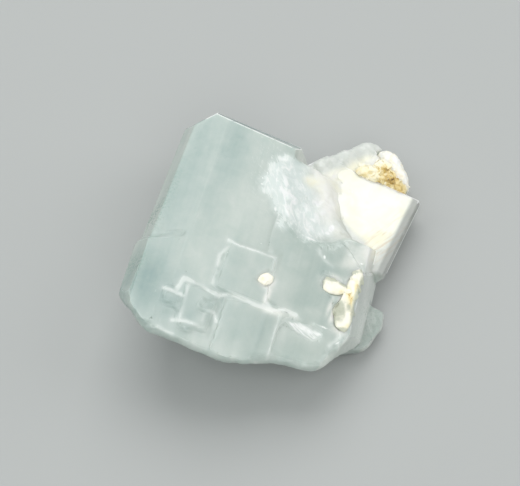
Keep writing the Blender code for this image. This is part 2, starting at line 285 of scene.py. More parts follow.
LEAN = Matrix.Rotation(math.radians(-11.0), 3, "Z") @ Matrix.Rotation(math.radians(-6.4), 3, "Y")


def cloudy_frame(places):
    """The leaning crystal's own coordinates: its axes are the crystal's, leaned and rolled."""
    return (places - (24.6, 16.8, -2.9)) @ np.array(LEAN)


# turn about the prism axis and tilt towards the end, in degrees
MAIN_FACES = (
    (0, 0), (-7.9, 0), (-68, 1.1), (-128, 0.9), (60, 0), (120, 0), (180, 0), (0, 90), (5.5, 44.9),
    (-58.8, 33.1), (60, 40), (-66, -1.8), (-128, -1.6), (118, 0),
)
LEANING_FACES = ((0, 0), (60, 0), (118, 0), (-90, 30), (0, 90), (20, -78))
GROWTH_DIRECTIONS = np.array(
    [facing(*way) for way in MAIN_FACES]
    + [tuple(LEAN @ Vector(facing(*way))) for way in LEANING_FACES]
    + [tuple(-AXES[:, 2])]
)

normals, areas = face_normals(points, triangles)
grown = (normals @ GROWTH_DIRECTIONS.T).max(axis=1) > math.cos(math.radians(1.5))
print("growth faces cover", round(float(areas[grown].sum() / areas.sum()), 2), "of the skin")

# %% [markdown]
# ## Crisp edges, soft breaks
# Fresh growth keeps its edges crisp: here the finished end and the leaning crystal. The older edges are
# worn, the growth plates end in soft steps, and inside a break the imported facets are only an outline. There
# the skin is relaxed: each point moves towards the mean of its neighbours a few times, while the points of
# flat faces and crisp edges stay where they are. Worn edges get three rounds, breaks twelve, and the steps
# of the growth plates thirty-six, which turns them into low ramps.

# %% Sharp edges and relaxed breaks
def spread(values, edges, count):
    """The sum over each point's neighbours: every edge hands its ends' values across."""
    total = np.zeros((count,) + values.shape[1:])
    np.add.at(total, edges[:, 0], values[edges[:, 1]])
    np.add.at(total, edges[:, 1], values[edges[:, 0]])
    return total


WORN_ROUNDS, BREAK_ROUNDS, RAMP_ROUNDS = 3, 12, 36
SHARPEST_SMOOTH_DEG = 14
FINISHED_FROM = 16.3
# the box round the growth plates on the wide face
PLATES_LOW, PLATES_HIGH = (-16.2, -25.6, -1.3), (16.6, 15.6, np.inf)

edges, which = edges_of(triangles)
order = np.argsort(which.reshape(-1), kind="stable")
sides = (order // 3).reshape(-1, 2)
bend = np.degrees(np.arccos((normals[sides[:, 0]] * normals[sides[:, 1]]).sum(axis=1).clip(-1, 1)))
middle = points[edges].mean(axis=1)
own = cloudy_frame(middle)
leaning = (middle[:, 2] < -2.4) & (middle[:, 0] > 12.0) & (own[:, 1] > -16.5)
leaning &= (abs(own[:, 0]) > 0.35) | (abs(own[:, 2]) > 0.35)
fresh = (middle[:, 1] > FINISHED_FROM) | leaning
sharp = (bend > SHARPEST_SMOOTH_DEG) & grown[sides].all(axis=1) & fresh
creased = (bend > SHARPEST_SMOOTH_DEG) & ~sharp
small_crystal = (middle[:, 0] > 15.0) & (abs(middle[:, 1] + 10.0) < 7.0) & (middle[:, 2] < -4.5)
worn = creased & (grown[sides].any(axis=1) | small_crystal)
corners = points[triangles]
near_face = (corners > PLATES_LOW).all(axis=(1, 2)) & (corners < PLATES_HIGH).all(axis=(1, 2))
step = near_face & (normals[:, 2] < 0.6)
ramp = np.zeros(len(points))
ramp[triangles[step]] = 1.0
for _ in range(3):
    ramp = ramp + spread(ramp, edges, len(points))
outside = np.zeros(len(points), bool)
outside[triangles[~near_face]] = True
ramp = (ramp > 0) & ~outside
pinned = np.zeros(len(points), bool)
pinned[triangles[grown]] = True
pinned[edges[creased]] = False
pinned[edges[sharp]] = True
neighbours = spread(np.ones(len(points)), edges, len(points))
for turn in range(RAMP_ROUNDS):
    if turn == WORN_ROUNDS:
        pinned[edges[worn]] = True
    if turn == BREAK_ROUNDS:
        pinned[:] = True
    mean = spread(points, edges, len(points)) / neighbours[:, None]
    points = np.where((pinned & ~ramp)[:, None], points, points * 0.4 + mean * 0.6)
on_edge = np.zeros(len(points), bool)
on_edge[edges[sharp]] = True
print("crisp edges:", int(sharp.sum()), "softened edges:", int(creased.sum()), "of", len(edges))

# %% [markdown]
# ## Relief
# Grown faces get striations along the prism and wide, low growth terraces a few hundredths of a
# millimetre high. Breaks get shell-like ripples and a frosted grain. Each is a height along the skin's own
# direction, worked out for all points at once, and it fades out at the sharp edges so they stay crisp.

# %% Heights
def point_normals(points, triangles):
    """Each point's direction: the triangles round it, weighted by area."""
    directions, sizes = face_normals(points, triangles)
    total = np.zeros_like(points)
    for i in range(3):
        np.add.at(total, triangles[:, i], directions * sizes[:, None])
    return unit(total)


def striations(places):
    """Fine ribs along the prism: noise that changes fast across and hardly at all along."""
    return layered(places * (1.3, 0.04, 1.3), 3, 21) * 0.005


def terraces(places):
    """Low growth steps: slow noise cut into levels, each with a steep little riser."""
    level = layered(places * (0.16, 0.11, 0.3), 2, 31) * 3.0
    return (np.floor(level) + smooth(0.5, 1.0, level - np.floor(level))) * 0.009


def shell_ripples(places):
    """Curved ripples of a shell-like break: a wave of the distance from one corner, bent by noise."""
    reach = lengths(places - (1.0, 19.0, -2.0)) + layered(places * 0.35, 2, 41) * 1.6
    return np.sin(reach * 3.4) * 0.035 + np.sin(reach * 1.3 + 1.0) * 0.05


def frosting(places):
    """The grain of a frosted break: crests and pits a fraction of a millimetre across."""
    return (ridged(places * 1.1, 3, 51) - 0.7) * 0.12 + layered(places * 3.1, 2, 61) * 0.025


edge_length = lengths(points[edges[:, 0]] - points[edges[:, 1]])
from_edge = np.where(on_edge, 0.0, 9.0)
for _ in range(9):
    for ends in (edges, edges[:, ::-1]):
        np.minimum.at(from_edge, ends[:, 0], from_edge[ends[:, 1]] + edge_length)
broken = np.zeros(len(points))
np.maximum.at(broken, triangles.reshape(-1), np.repeat(~grown, 3).astype(float))
for _ in range(3):
    broken = broken * 0.5 + spread(broken, edges, len(points)) / neighbours * 0.5

directions = point_normals(points, triangles)
fade = smooth(0.0, 0.9, from_edge)
rise = (striations(points) + terraces(points)) * fade * (1 - broken)
rise += (shell_ripples(points) + frosting(points)) * broken * (0.25 + 0.75 * fade)
resting = height(points) < 0.02
points = points + directions * np.where(resting, 0.0, rise)[:, None]
points += np.outer(np.maximum(-height(points), 0.0), AXES[:, 2])
print("relief runs from", rise.min().round(3), "to", rise.max().round(3), "mm")

# %% [markdown]
# ## Where it is milky, creamy, frosted or clear
# A cloudy crystal isn't one colour. Veils of tiny fluid pockets make it paler in bands along the prism,
# the leaning crystal has a creamy core behind a clear rim, and broken places are frosted white. Painting
# an image by hand would fix this to one view, so each property is a field over the skin instead, drawn
# from a few soft shapes and stored as an attribute that the material reads. Some of the paleness is
# painted light: side faces, the hollow, the bottom break and the crevices round the grains are painted
# paler to even out their shade.

# %% Drawn shapes, in millimetres across and along the wide face
FROSTED_PATCH = (
    (-3.2, 7), (-2.1, 10.5), (-1.4, 13.1), (1.7, 14.8), (4.2, 13.9), (7.9, 10.4), (9.6, 7.4), (11.6, 5.6),
    (11.2, 1.8), (6.6, -0.9), (4.6, 0.4), (1.8, 0.5), (0, 3),
)
# the cloud is drawn 3 mm below the wide face and slides as it goes deeper, see cloud_places
CLOUDY_ZONE = (
    (2.4, 13.6), (4.6, 10.6), (8.4, 9), (11.4, 6.2), (15.4, 2.9), (17, -0.6), (22.2, -2.6), (26.5, 17.5),
    (24, 24), (16, 28), (6, 24), (3.4, 17.2),
)
CREAMY_CORE = (
    (4.2, 13), (8.4, 10.8), (12.2, 7.8), (16.9, 4.7), (18.3, 1.6), (19.3, 2.2), (20.9, 6.4), (22.2, 9.7),
    (23, 12.8), (23.4, 15.7), (22.6, 17.5), (20, 20.5), (17, 23.5), (13.4, 22.4), (10.6, 18.4), (7.5, 15.4),
)
LENS = ((7.0, -16.8), (9.5, -16.1), (13.5, -16.8), (12.1, -18.6), (9.4, -18.0))
LEDGES = (
    (((-5.4, -6), (-3.4, -6.4), (-0.3, -6.3), (2.8, -6.3)), 1),
    (((-5.3, -7.4), (-6.1, -9.2), (-5.7, -14.7)), 0.6),
    (((-12.7, -18.2), (-11.2, -18.3), (-9.5, -18.7)), 0.8),
    (((-10.8, -17.9), (-10.3, -15.4), (-7.3, -15.7), (-4.3, -16.5)), 0.9),
    (((-4.3, -16.5), (-2.6, -15.5), (1, -15.8), (4.3, -16.1), (6.5, -14.9), (8.4, -15.1)), 0.85),
    (((-9.2, -16.3), (-8.9, -22.8)), 0.5),
    (((-9.9, -23.2), (-7.9, -22.7), (-4.5, -22.9)), 0.75),
    (((-5.2, -22.5), (-5.5, -20.6), (-5, -19.7), (-4, -19.8), (-3.4, -20.9)), 0.7),
    (((-11.8, -25.2), (-9.2, -25.4)), 0.5),
    (((6, -16.1), (5.9, -26)), 0.45),
    (((2.8, -6.4), (3.1, -10.4), (3.2, -14.6), (4.6, -16.2)), 0.75),
    (((14.8, -18.6), (16.9, -15.3), (17, -13.9)), 0.5),
    (((9.4, -1.6), (9.9, -2.7), (10.9, -3.5), (12.3, -4.2)), 0.5),
)
# a soft hill is across, along, width, length, turn in degrees and strength; these are bright chips
CHIPS = (
    (10.7, 4.6, 0.5, 1, -12, 1), (10.2, 3.2, 0.6, 0.4, 10, 0.8), (7.6, -0.2, 1.3, 0.3, -8, 0.9),
    (3.2, 5.8, 0.8, 0.6, 30, 0.75), (6.8, 8.4, 0.7, 0.5, -30, 0.7), (7.2, 4.3, 0.8, 0.4, 10, 0.8),
    (4.7, 4.7, 0.5, 0.5, 0, 0.6), (2.2, 8.4, 0.4, 0.8, 10, 0.6), (-0.8, 8.6, 0.2, 1, 4, 0.8),
    (-3, 6.8, 0.35, 0.3, 0, 0.7), (0.4, 2.9, 0.3, 0.6, 12, 0.7), (16.8, -1.7, 0.6, 0.25, 24, 0.8),
    (10.5, -2.9, 0.3, 0.5, 20, 0.7), (9.2, -0.7, 0.35, 0.3, 0, 0.7), (-0.2, -4.5, 0.22, 0.22, 0, 0.7),
    (-5.5, 16.2, 0.3, 0.2, 0, 0.8), (5.6, 13.4, 0.6, 1.4, 35, 0.5), (-13.9, -19.2, 0.2, 0.5, 0, 0.5),
    (-5, -8.5, 0.2, 0.2, 0, 0.6), (13.2, -15.6, 2, 0.3, -6, 0.6), (16, -17.5, 0.9, 0.3, 50, 0.6),
)
# paler and deeper patches of the milky beryl; the pale band along the bottom break (along -26) is painted
# light against its shade
TONES = (
    (1, 9.5, 3.4, 5.5, -8, -0.14), (1.3, 10.5, 1.8, 3, -8, -0.14), (-2, 3, 6, 9, 0, 0.1),
    (9.5, -7, 4, 4.5, -20, -0.04), (6.5, -10, 4, 5, 0, 0.12), (9, -17.5, 5, 3.2, 0, 0.16),
    (-7.5, -11.5, 4, 3.4, 0, 0.1), (-15.5, 8, 2, 7, 0, -0.06), (13.5, -0.8, 4.2, 3.4, 0, 0.12),
    (16.5, 0, 2.4, 3, 0, 0.3), (-17, -17, 5.8, 6.5, 10, -0.34), (-9, -21.5, 4, 4, 0, -0.1),
    (3, -20.5, 3.6, 3.6, 0, -0.06), (-1, -26, 14, 2.6, 0, 0.08), (20.8, -9.8, 3.8, 5.6, 0, 0.18),
)
# soft cream haze round the grains, strong enough to also paint light over the shade in the crevices beside
# them
HAZES_AND_PAINTED_LIGHT = (
    (14.3, -12.6, 0.55, 2.2, -8, 0.85), (13.2, -6.2, 1.7, 1.1, 0, 0.6), (16.9, -4.2, 0.9, 1.8, 0, 0.6),
    (16, -10, 1.5, 5.4, 3, 0.75), (15.8, -15, 1.5, 1.4, 0, 0.7), (2.3, -11, 1.5, 1.4, 0, 1),
    (3.2, -13.6, 0.6, 2.4, -4, 0.7), (4.6, -16, 2.6, 0.8, 4, 0.65), (8, -15.4, 1.6, 0.6, -20, 0.4),
    (15, -2.4, 2.8, 1.3, 28, 0.5), (13, -7.6, 3.2, 1.7, 0, 0.55), (10.8, -13.6, 2.6, 1, 0, 0.25),
    (9.2, 9.2, 2.6, 5.4, 14, 0.85), (12.4, 4.4, 3, 2.4, -30, 0.6), (6.2, 14.2, 2.6, 1.8, -30, 0.6),
    (17.6, 0.8, 1.6, 2.4, 0, 0.7), (13.4, -11.6, 0.5, 2.4, -6, 0.6),
)


def hills_of(places, blobs):
    """One row of heights for each soft hill, after a first row of nothing."""
    return np.array([np.zeros(len(places)), *(blob(places, *shape) for shape in blobs)])


def blobs_of(places, blobs):
    """The highest of several soft hills."""
    return hills_of(places, blobs).max(axis=0)


def tone_of(places, directions):
    """How pale the milky beryl is, 0 deep blue-green to 1 nearly white: bands, blobs, drifting veils, and
    painted light on side faces, the hollow and the bottom break.
    """
    across, along = places[:, 0], places[:, 1]
    tone = np.full(len(places), 0.47)
    bent = across + noise(places * 0.12, 71) * 0.35
    upper = smooth(-9.0, -3.0, along)
    tone -= 0.10 * (1 - smooth(-12.1, -11.5, bent)) * upper
    tone -= 0.15 * smooth(-12.0, -11.4, bent) * (1 - smooth(-10.5, -5.0, bent)) * smooth(-10.0, 2.0, along)
    # painted light: the hollow below the wide face is made paler to even out its shade
    tone += 0.22 * smooth(-0.6, -1.6, places[:, 2]) * smooth(-2.0, 4.0, across) * smooth(-1.0, 3.0, along)
    tone += hills_of(places, TONES).sum(axis=0)
    # painted light: faces turned left or right are made paler to even out the shade they get
    tone += 0.2 * smooth(0.4, 0.8, directions[:, 0]) * smooth(8.0, 12.0, along)
    tone += 0.2 * smooth(0.5, 0.9, -directions[:, 0])
    tone += 0.3 * smooth(0.35, 0.7, directions[:, 0]) * smooth(8.0, 4.0, along)
    tone += 0.09 * layered(places * (0.33, 0.09, 0.33), 3, 81) + 0.05 * layered(places * 0.55, 3, 91)
    return tone


def ledge_of(places):
    """Frosted ledges: a bright core and a wide glow that fall off from each line, times its strength."""
    wander = columns(*(layered(places * 0.5, 2, seed) * 0.1 for seed in (101, 103)))
    shifted = places.copy()
    shifted[:, :2] += wander
    patchy = 0.85 + 0.4 * layered(places * 0.4, 2, 105)
    lines = []
    for line, strength in LEDGES:
        away = distance_to_line(shifted, line)
        lines.append(strength * (0.75 * np.exp(-((away / 0.32) ** 2)) + 0.25 * np.exp(-((away / 1.1) ** 2))))
    return (np.max(lines, axis=0) * patchy * 1.1).clip(0, 1) * smooth(-4.5, -3.0, places[:, 2])


def mottle_of(places):
    """Dark green flecks along the left edge, where the crystal is thin and clearer."""
    upper = blob(places, -18.3, -5.2, 1.7, 3.6) + 0.5 * blob(places, -17, 1, 1.2, 4)
    lower = 0.9 * blob(places, -18.2, -14.4, 1.7, 2.6) + 0.5 * blob(places, 21, -9, 3.2, 5)
    return np.maximum(upper, lower).clip(0, 1)


def cloud_places(places):
    """Where the cloud's drawing is read: its boundary slides towards the broken end as it goes deeper."""
    return places + np.outer(places[:, 2] + 3.0, (0.083, 0.649, 0.0))


def fields_of(places, directions):
    """Every property of the skin, each from 0 to 1."""
    own = cloudy_frame(places)
    facing_up = smooth(0.1, 0.6, directions[:, 2])
    below = smooth(-0.6, -1.8, places[:, 2])
    drawn = cloud_places(places)
    cloudy = smooth(-0.6, 1.4, inside(drawn, CLOUDY_ZONE)) * below
    drift = layered(places * 0.22, 3, 111)
    cream = smooth(-1.1, 1.1, inside(drawn, CREAMY_CORE) + drift * 0.7) * below
    cream *= smooth(-13.0, -10.0, places[:, 2])
    rim = smooth(-1.7, -0.8, own[:, 0]) * cloudy * smooth(-19.5, -17.0, own[:, 1])
    tip = blob(places, 20.6, 0.6, 2.4, 3.6, -12) * cloudy
    frosted = smooth(-1.2, 1.6, inside(places, FROSTED_PATCH) + layered(places * 0.5, 2, 121) * 1.1)
    combed = blob(places, -1.4, 10, 3.2, 5.4, 8) + 0.9 * blob(places, 6.2, 0.6, 5, 1.8, -18)
    bevel = smooth(18.1, 18.6, places[:, 1] + 0.06 * (places[:, 0] + 13.9)) * smooth(-2.2, -0.8, places[:, 2])
    small = inside(places, ((17.4, -4.2), (26, -4.8), (26, -16), (17.4, -16.6))) > 0
    small = small * smooth(-4.9, -5.6, places[:, 2])
    end_rim = blob(places, -5, 18.6, 13, 0.9, -3) * smooth(0.25, 0.5, directions[:, 1])
    return {
        "tone": tone_of(places, directions) - 0.5 * end_rim,
        "cream": cream * (1 - rim) * (1 - 0.6 * tip),
        "cloudy": cloudy,
        "frosted": frosted * facing_up,
        "combed": combed.clip(0, 1) * facing_up,
        "ledge": ledge_of(places) * facing_up,
        "lens": smooth(-0.25, 0.45, inside(places, LENS)) * facing_up * (places[:, 2] > -1.5),
        "chips": blobs_of(places, CHIPS) * facing_up,
        "haze": blobs_of(places, HAZES_AND_PAINTED_LIGHT) * facing_up * (places[:, 2] > -6.0),
        "mottle": mottle_of(places),
        "streaked": blob(places, 20.2, 6.6, 2.4, 5.6, -20) * cloudy,
        "clear": np.maximum.reduce((0.5 * rim, 0.25 * tip, 0.6 * bevel, 0.3 * small)),
    }


fields = fields_of(points, directions)
fields["broken"] = broken
fields["from_edge"] = (from_edge / 3.0).clip(0.0, 1.0)
for name, values in fields.items():
    print(f"{name}: mean {values.mean():.2f}, highest {values.max():.2f}")

# %% [markdown]
# ## Putting arrays into a mesh
# A mesh takes whole arrays at once. Shading is smooth except along edges marked sharp, so relief reads as
# a surface and crystal edges as lines. Every finished piece rides on the specimen's one body.

# %% One function for every new mesh
def flat_list(array, kind):
    """The array as one long row of that number type, which foreach_set wants."""
    return np.ascontiguousarray(array, kind).reshape(-1)


def piece(name, points, faces, fields=None, sharp=None, flat_from=None):
    """An object from crystal-frame points and faces, with attributes, sharp edges and flat last faces."""
    mesh = bpy.data.meshes.new(name)
    mesh.vertices.add(len(points))
    mesh.vertices.foreach_set("co", flat_list(to_floor(points), np.float32))
    sides = faces.shape[1]
    mesh.loops.add(faces.size)
    mesh.loops.foreach_set("vertex_index", flat_list(faces, np.int32))
    mesh.polygons.add(len(faces))
    mesh.polygons.foreach_set("loop_start", np.arange(0, faces.size, sides, dtype=np.int32))
    smooth_count = len(faces) if flat_from is None else flat_from
    mesh.polygons.foreach_set("use_smooth", np.arange(len(faces)) < smooth_count)
    mesh.update(calc_edges=True)
    for field, values in (fields or {}).items():
        mesh.attributes.new(field, "FLOAT", "POINT").data.foreach_set("value", flat_list(values, np.float32))
    if sharp is not None:
        ends = np.empty(len(mesh.edges) * 2, np.int32)
        mesh.edges.foreach_get("vertices", ends)
        code = np.sort(ends.reshape(-1, 2), axis=1) @ (len(points), 1)
        marks = mesh.attributes.new("sharp_edge", "BOOLEAN", "EDGE")
        marks.data.foreach_set("value", np.isin(code, sharp @ (len(points), 1)))
    made = bpy.data.objects.new(name, mesh)
    bpy.context.scene.collection.objects.link(made)
    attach(made, "root")
    return made


crystals = piece("aquamarine_crystals_skin", points, triangles, fields, edges[sharp])
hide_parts("aquamarine_crystals")
print("skin:", len(crystals.data.polygons), "faces,", len(crystals.data.attributes), "attributes")

# %% [markdown]
# ## Writing materials as sums
# Cloudy beryl needs many small decisions: a threshold here, a product of two masks there. Wiring Math
# nodes by hand hides them. A small class lets Python's own operators add the nodes, so a mask reads as
# the sum it is. Colours go through Mix nodes, and one method makes every other node.

# %% A material whose wires can be added and multiplied
class Wire:
    """One output of a node. Arithmetic on it adds Math nodes to its recipe."""

    def __init__(self, recipe, socket):
        self.recipe, self.socket = recipe, socket

    def math(self, operation, first, second):
        return self.recipe.node("ShaderNodeMath", {"operation": operation}, {0: first, 1: second})

    def __add__(self, other):
        return self.math("ADD", self, other)

    def __sub__(self, other):
        return self.math("SUBTRACT", self, other)

    def __rsub__(self, other):
        return self.math("SUBTRACT", other, self)

    def __mul__(self, other):
        return self.math("MULTIPLY", self, other)

    __radd__, __rmul__ = __add__, __mul__

    def over(self, low, high):
        """0 below low, 1 above high and an S-curve between, as the numpy function `smooth` gives."""
        values = {"Value": self, "From Min": low, "From Max": high}
        return self.recipe.node("ShaderNodeMapRange", {"interpolation_type": "SMOOTHSTEP"}, values)


class Recipe:
    """A material under construction."""

    def __init__(self, name):
        self.material = bpy.data.materials.new(name)
        self.material.use_nodes = True
        self.nodes, self.links = self.material.node_tree.nodes, self.material.node_tree.links
        self.nodes.clear()
        self.result = self.nodes.new("ShaderNodeOutputMaterial")
        self.places = self.node("ShaderNodeTexCoord", {}, {}, "Object")

    def node(self, kind, settings, values, output=0):
        """Add a node: its settings and ramp stops first, then a value or a wire for each named socket."""
        made = self.nodes.new(kind)
        for key, setting in settings.items():
            if key == "stops":
                ramp = made.color_ramp
                while len(ramp.elements) < len(setting):
                    ramp.elements.new(0.5)
                for element, (position, colour) in zip(ramp.elements, setting):
                    element.position, element.color = position, (*colour, 1.0)
            else:
                setattr(made, key, setting)
        for key, value in values.items():
            socket = made.inputs[key]
            if isinstance(value, Wire):
                self.links.new(value.socket, socket)
            elif socket.type == "RGBA":
                socket.default_value = (*value[:3], 1.0)
            else:
                socket.default_value = value
        return Wire(self, made.outputs[output])

    def field(self, name):
        """A number stored on the skin."""
        return self.node("ShaderNodeAttribute", {"attribute_name": name}, {}, "Fac")

    def ramp(self, factor, *stops):
        """A colour looked up along a row of stops, each a position and its colour on a screen."""
        stops = [(position, linear(*levels)) for position, *levels in stops]
        return self.node("ShaderNodeValToRGB", {"stops": stops}, {"Fac": factor}, "Color")

    def mix(self, factor, one, other):
        """Colour one where the factor is 0, the other where it is 1."""
        return self.node("ShaderNodeMix", {"data_type": "RGBA"}, {0: factor, 6: one, 7: other}, 2)

    def stretched(self, turn_deg, sizes_mm):
        """Object coordinates in a frame turned by those angles, in units of those sizes."""
        turn = tuple(math.radians(angle) for angle in turn_deg)
        sizes = tuple(size * MM for size in sizes_mm)
        values = {"Vector": self.places, "Rotation": turn, "Scale": sizes}
        return self.node("ShaderNodeMapping", {"vector_type": "TEXTURE"}, values)

    def noise(self, scale, detail=3.0, roughness=0.5, distortion=0.0, places=None):
        """Blender's own noise, 0 to 1, at a scale in lumps per metre."""
        values = {"Vector": places or self.places, "Scale": scale, "Detail": detail}
        values |= {"Roughness": roughness, "Distortion": distortion}
        return self.node("ShaderNodeTexNoise", {}, values, "Fac")

    def bump(self, bumps, distance):
        """The surface's direction tilted as if it had those heights, in metres at height 1."""
        values = {"Height": bumps, "Distance": distance, "Strength": 1.0}
        return self.node("ShaderNodeBump", {}, values, "Normal")

    def principled(self, **values):
        """A Principled shader; underscores in the names stand for spaces."""
        named = {key.replace("_", " "): value for key, value in values.items()}
        return self.node("ShaderNodeBsdfPrincipled", {}, named)

    def done(self, surface, volume=None):
        """Send the shader, and the volume behind it if there is one, to the material's output."""
        self.links.new(surface.socket, self.result.inputs["Surface"])
        if volume:
            self.links.new(volume.socket, self.result.inputs["Volume"])
        print(self.material.name, "has", len(self.nodes), "nodes")
        return self.material


def linear(*levels):
    """A colour given as 0 to 255 on a screen, as the light it stands for."""
    shares = np.array(levels) / 255.0
    bent = np.where(shares <= 0.04045, shares / 12.92, ((shares + 0.055) / 1.055) ** 2.4)
    return tuple(float(share) for share in bent)


print("screen 128 is", round(linear(128)[0], 3), "of full light")

# %% [markdown]
# ## Milky beryl
# Light enters a cloudy crystal, wanders among the fluid pockets, and comes out a few millimetres away:
# subsurface scattering, under a smooth surface with beryl's refractive index of 1.58. Where the crystal
# is clear, at rims and the bevelled end, the light goes straight through instead. So two shaders are
# mixed by the clear field: one milky, one plain glass, with a pale blue-green absorption inside.

# %% The beryl's material
def milky_beryl():
    recipe = Recipe("milky_beryl")
    (
        tone, cream, cloudy, frosted, combed, ledge, lens, chips, haze, mottle, streaked, clear, broken,
        from_edge,
    ) = (recipe.field(name) for name in fields)
    veils = recipe.noise(1.0, 4.0, 0.55, 0.4, recipe.stretched((0, 14, 0), (1.1, 16, 1.1)))
    specks = recipe.noise(2600, 3.0, 0.6)
    clouds = recipe.noise(420, 5.0, 0.6, 0.8)
    network = recipe.noise(1.0, 4.0, 0.6, 1.2, recipe.stretched((0, 0, 24), (1.3, 3.2, 2.0)))
    strokes = recipe.noise(1.0, 4.0, 0.6, 0.7, recipe.stretched((0, 0, 4), (0.34, 2.4, 1.2)))
    rakes = recipe.noise(1.0, 4.0, 0.6, 0.7, recipe.stretched((0, 0, -28), (2.8, 0.36, 1.2)))
    grain_lines = recipe.noise(1.0, 3.0, 0.55, 0.5, recipe.stretched((0, 0, -33), (0.5, 5.0, 1.6)))

    # tone includes painted light that evens out the shade of side faces, the hollow and the bottom break
    pale = tone + (veils - 0.5) * 0.16 + (clouds - 0.5) * 0.22 + (specks - 0.5) * 0.05
    body = recipe.ramp(
        pale, (0.05, 140, 165, 160), (0.3, 170, 187, 181), (0.5, 188, 200, 193), (0.75, 209, 216, 209),
        (1, 238, 241, 236),
    )
    fleck = mottle * (specks * 0.6 + clouds * 0.4).over(0.47, 0.56) * 0.6
    body = recipe.mix(fleck, body, linear(132, 160, 146))
    grey_cloud = recipe.ramp(clouds, (0.3, 206, 211, 205), (0.7, 228, 230, 224))
    body = recipe.mix(cloudy * 0.85, body, grey_cloud)
    body = recipe.mix(frosted * 0.85, body, linear(228, 236, 232))
    warm = recipe.noise(260, 3.0, 0.5, 0.6)
    creamy = recipe.ramp(warm, (0.3, 253, 246, 220), (0.5, 255, 253, 232), (0.7, 255, 254, 240))
    body = recipe.mix(cream, body, creamy)
    tan = streaked * grain_lines.over(0.46, 0.66) * 0.6
    body = recipe.mix(tan, body, linear(206, 188, 160))
    # partly painted light: the cream haze also covers the shade of the crevices round the grains
    body = recipe.mix((haze * (clouds * 0.6 + 0.65)).over(0.0, 1.0), body, linear(251, 250, 242))

    shatter = frosted * (1 - cream * 0.8) * (network * 0.8 + clouds * 0.2).over(0.47, 0.62)
    brushed = combed * (1 - cloudy * 0.7) * ((strokes + rakes) * 0.5).over(0.52, 0.64)
    chip = (chips * (0.55 + clouds * 0.9)).over(0.3, 0.7)
    # painted highlight: a white line along the crisp edges
    painted_edge_highlight = (1 - from_edge.over(0.01, 0.1)) * (clouds.over(0.3, 0.5) + cloudy).over(0.0, 1.0) * 0.7
    line = (ledge * (0.75 + clouds * 0.8)).over(0.0, 1.0)
    fan = (lens * (0.72 + (rakes - 0.5) * 3.0)).over(0.0, 1.1)
    dark_parts = (1 - shatter * 0.85) * (1 - brushed * 0.7) * (1 - chip * 0.95)
    white = 1 - dark_parts * (1 - line * 0.55) * (1 - painted_edge_highlight) * (1 - fan)
    body = recipe.mix(white, body, linear(247, 250, 246))

    grain = (clouds * 0.5 + specks * 0.35) * (broken * 0.4 + 0.05) + shatter * 0.2 + line * 0.1
    rough = 0.17 + broken * 0.2 + frosted * 0.14 + white * 0.2 + (specks - 0.5) * 0.06
    tilted = recipe.bump(grain, 0.0002)
    milky = recipe.principled(
        Base_Color=body, Roughness=rough, Normal=tilted, IOR=1.58, Subsurface_Weight=1.0,
        Subsurface_Radius=(1.0, 1.0, 0.97), Subsurface_Scale=0.0018, Transmission_Weight=0.08,
    )
    glassy = recipe.principled(
        Base_Color=(0.93, 0.97, 0.96), Roughness=rough * 0.5, Normal=tilted, IOR=1.58,
        Transmission_Weight=1.0,
    )
    share = (clear * (1 - white * 0.8) + (clouds - 0.5) * 0.15 * clear).over(0.02, 0.98)
    shader = recipe.node("ShaderNodeMixShader", {}, {0: share, 1: milky, 2: glassy})
    inner = recipe.node("ShaderNodeVolumeAbsorption", {}, {"Color": (0.62, 0.86, 0.82), "Density": 26.0})
    return recipe.done(shader, inner)


crystals.data.materials.append(milky_beryl())

# %% [markdown]
# ## Grains of mica and feldspar
# Small guest minerals sit on and in the beryl: golden mica with a white feldspar knob at the finished
# end, and cream mica in a seam on the wide face. Each grain is drawn as an outline on the wide face, and
# a row of widths against heights makes it round; noise along the grain's own outward direction makes it
# craggy. Real mica grows as stacks of thin six-sided leaves, so leaves are scattered over the grains too.

# %% A craggy grain and its leaves
def ring_of(outline, count):
    """The outline walked counter-clockwise in even steps and rounded a little at its corners."""
    corners = np.array(outline, float)
    after = np.roll(corners, -1, axis=0)
    if (corners[:, 0] * after[:, 1] - after[:, 0] * corners[:, 1]).sum() < 0:
        corners = corners[::-1]
    loop = np.vstack((corners, corners[:1]))
    run = np.concatenate(([0.0], np.cumsum(lengths(np.diff(loop, axis=0)))))
    steps = np.linspace(0.0, run[-1], count, endpoint=False)
    ring = columns(*(np.interp(steps, run, loop[:, i]) for i in (0, 1)))
    for _ in range(3):
        ring = ring * 0.5 + (np.roll(ring, 1, axis=0) + np.roll(ring, -1, axis=0)) * 0.25
    return ring


